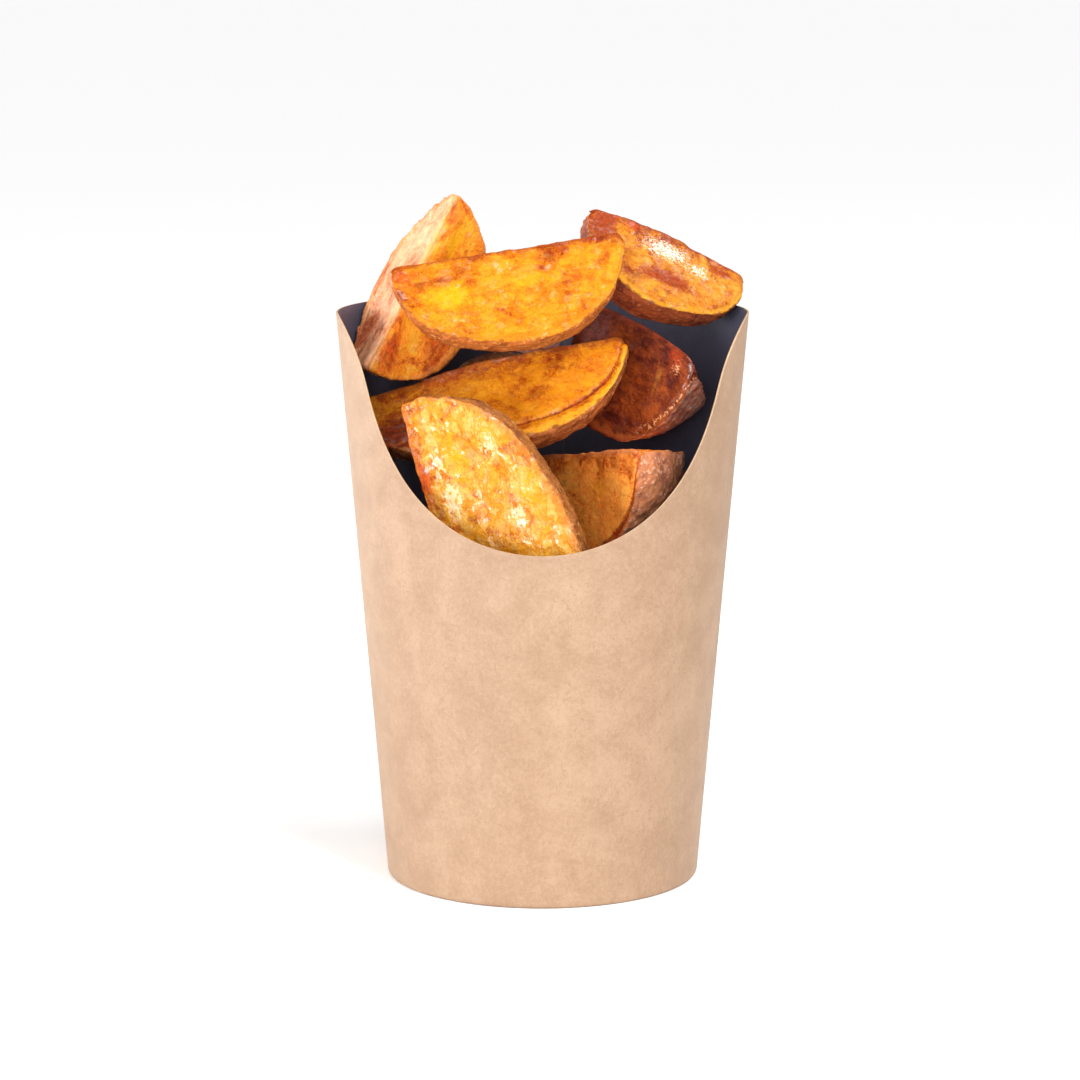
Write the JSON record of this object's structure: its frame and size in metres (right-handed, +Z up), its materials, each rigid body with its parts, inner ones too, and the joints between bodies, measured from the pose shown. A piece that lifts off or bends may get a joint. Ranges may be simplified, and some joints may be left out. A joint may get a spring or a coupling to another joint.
{
  "type": "scoop cup of potato wedges",
  "caption": "Kraft paper scoop cup with a low curved front, heaped with roasted potato wedges, for takeaway food.",
  "frame": {"origin": "on the table at the centre of the cup's foot, which is the middle of the whole's footprint to about 1 mm", "axes": "+Z up along the cup's axis, -Y towards the scooped front, +X to the right seen from the front"},
  "size_m": [0.1003, 0.0844, 0.1675],
  "materials": {
    "kraft_board": "uncoated brown kraft outside, black inside",
    "roast_potato": "roasted golden cut faces with a thin gloss of oil, brown skin"
  },
  "bodies": {
    "root": {"cup_wall": "kraft_board", "cup_base": "kraft_board", "wedge_top_left": "roast_potato", "wedge_top_middle": "roast_potato", "wedge_top_right": "roast_potato", "wedge_middle": "roast_potato", "wedge_right": "roast_potato", "wedge_front": "roast_potato", "wedge_front_right": "roast_potato", "wedge_behind_left": "roast_potato", "wedge_behind_right": "roast_potato", "wedge_back": "roast_potato", "wedge_inside_left": "roast_potato", "wedge_inside_right": "roast_potato", "wedge_low_1": "roast_potato", "wedge_low_2": "roast_potato", "wedge_low_3": "roast_potato", "wedge_low_4": "roast_potato", "wedge_low_5": "roast_potato", "wedge_low_6": "roast_potato"}
  },
  "joints": []
}
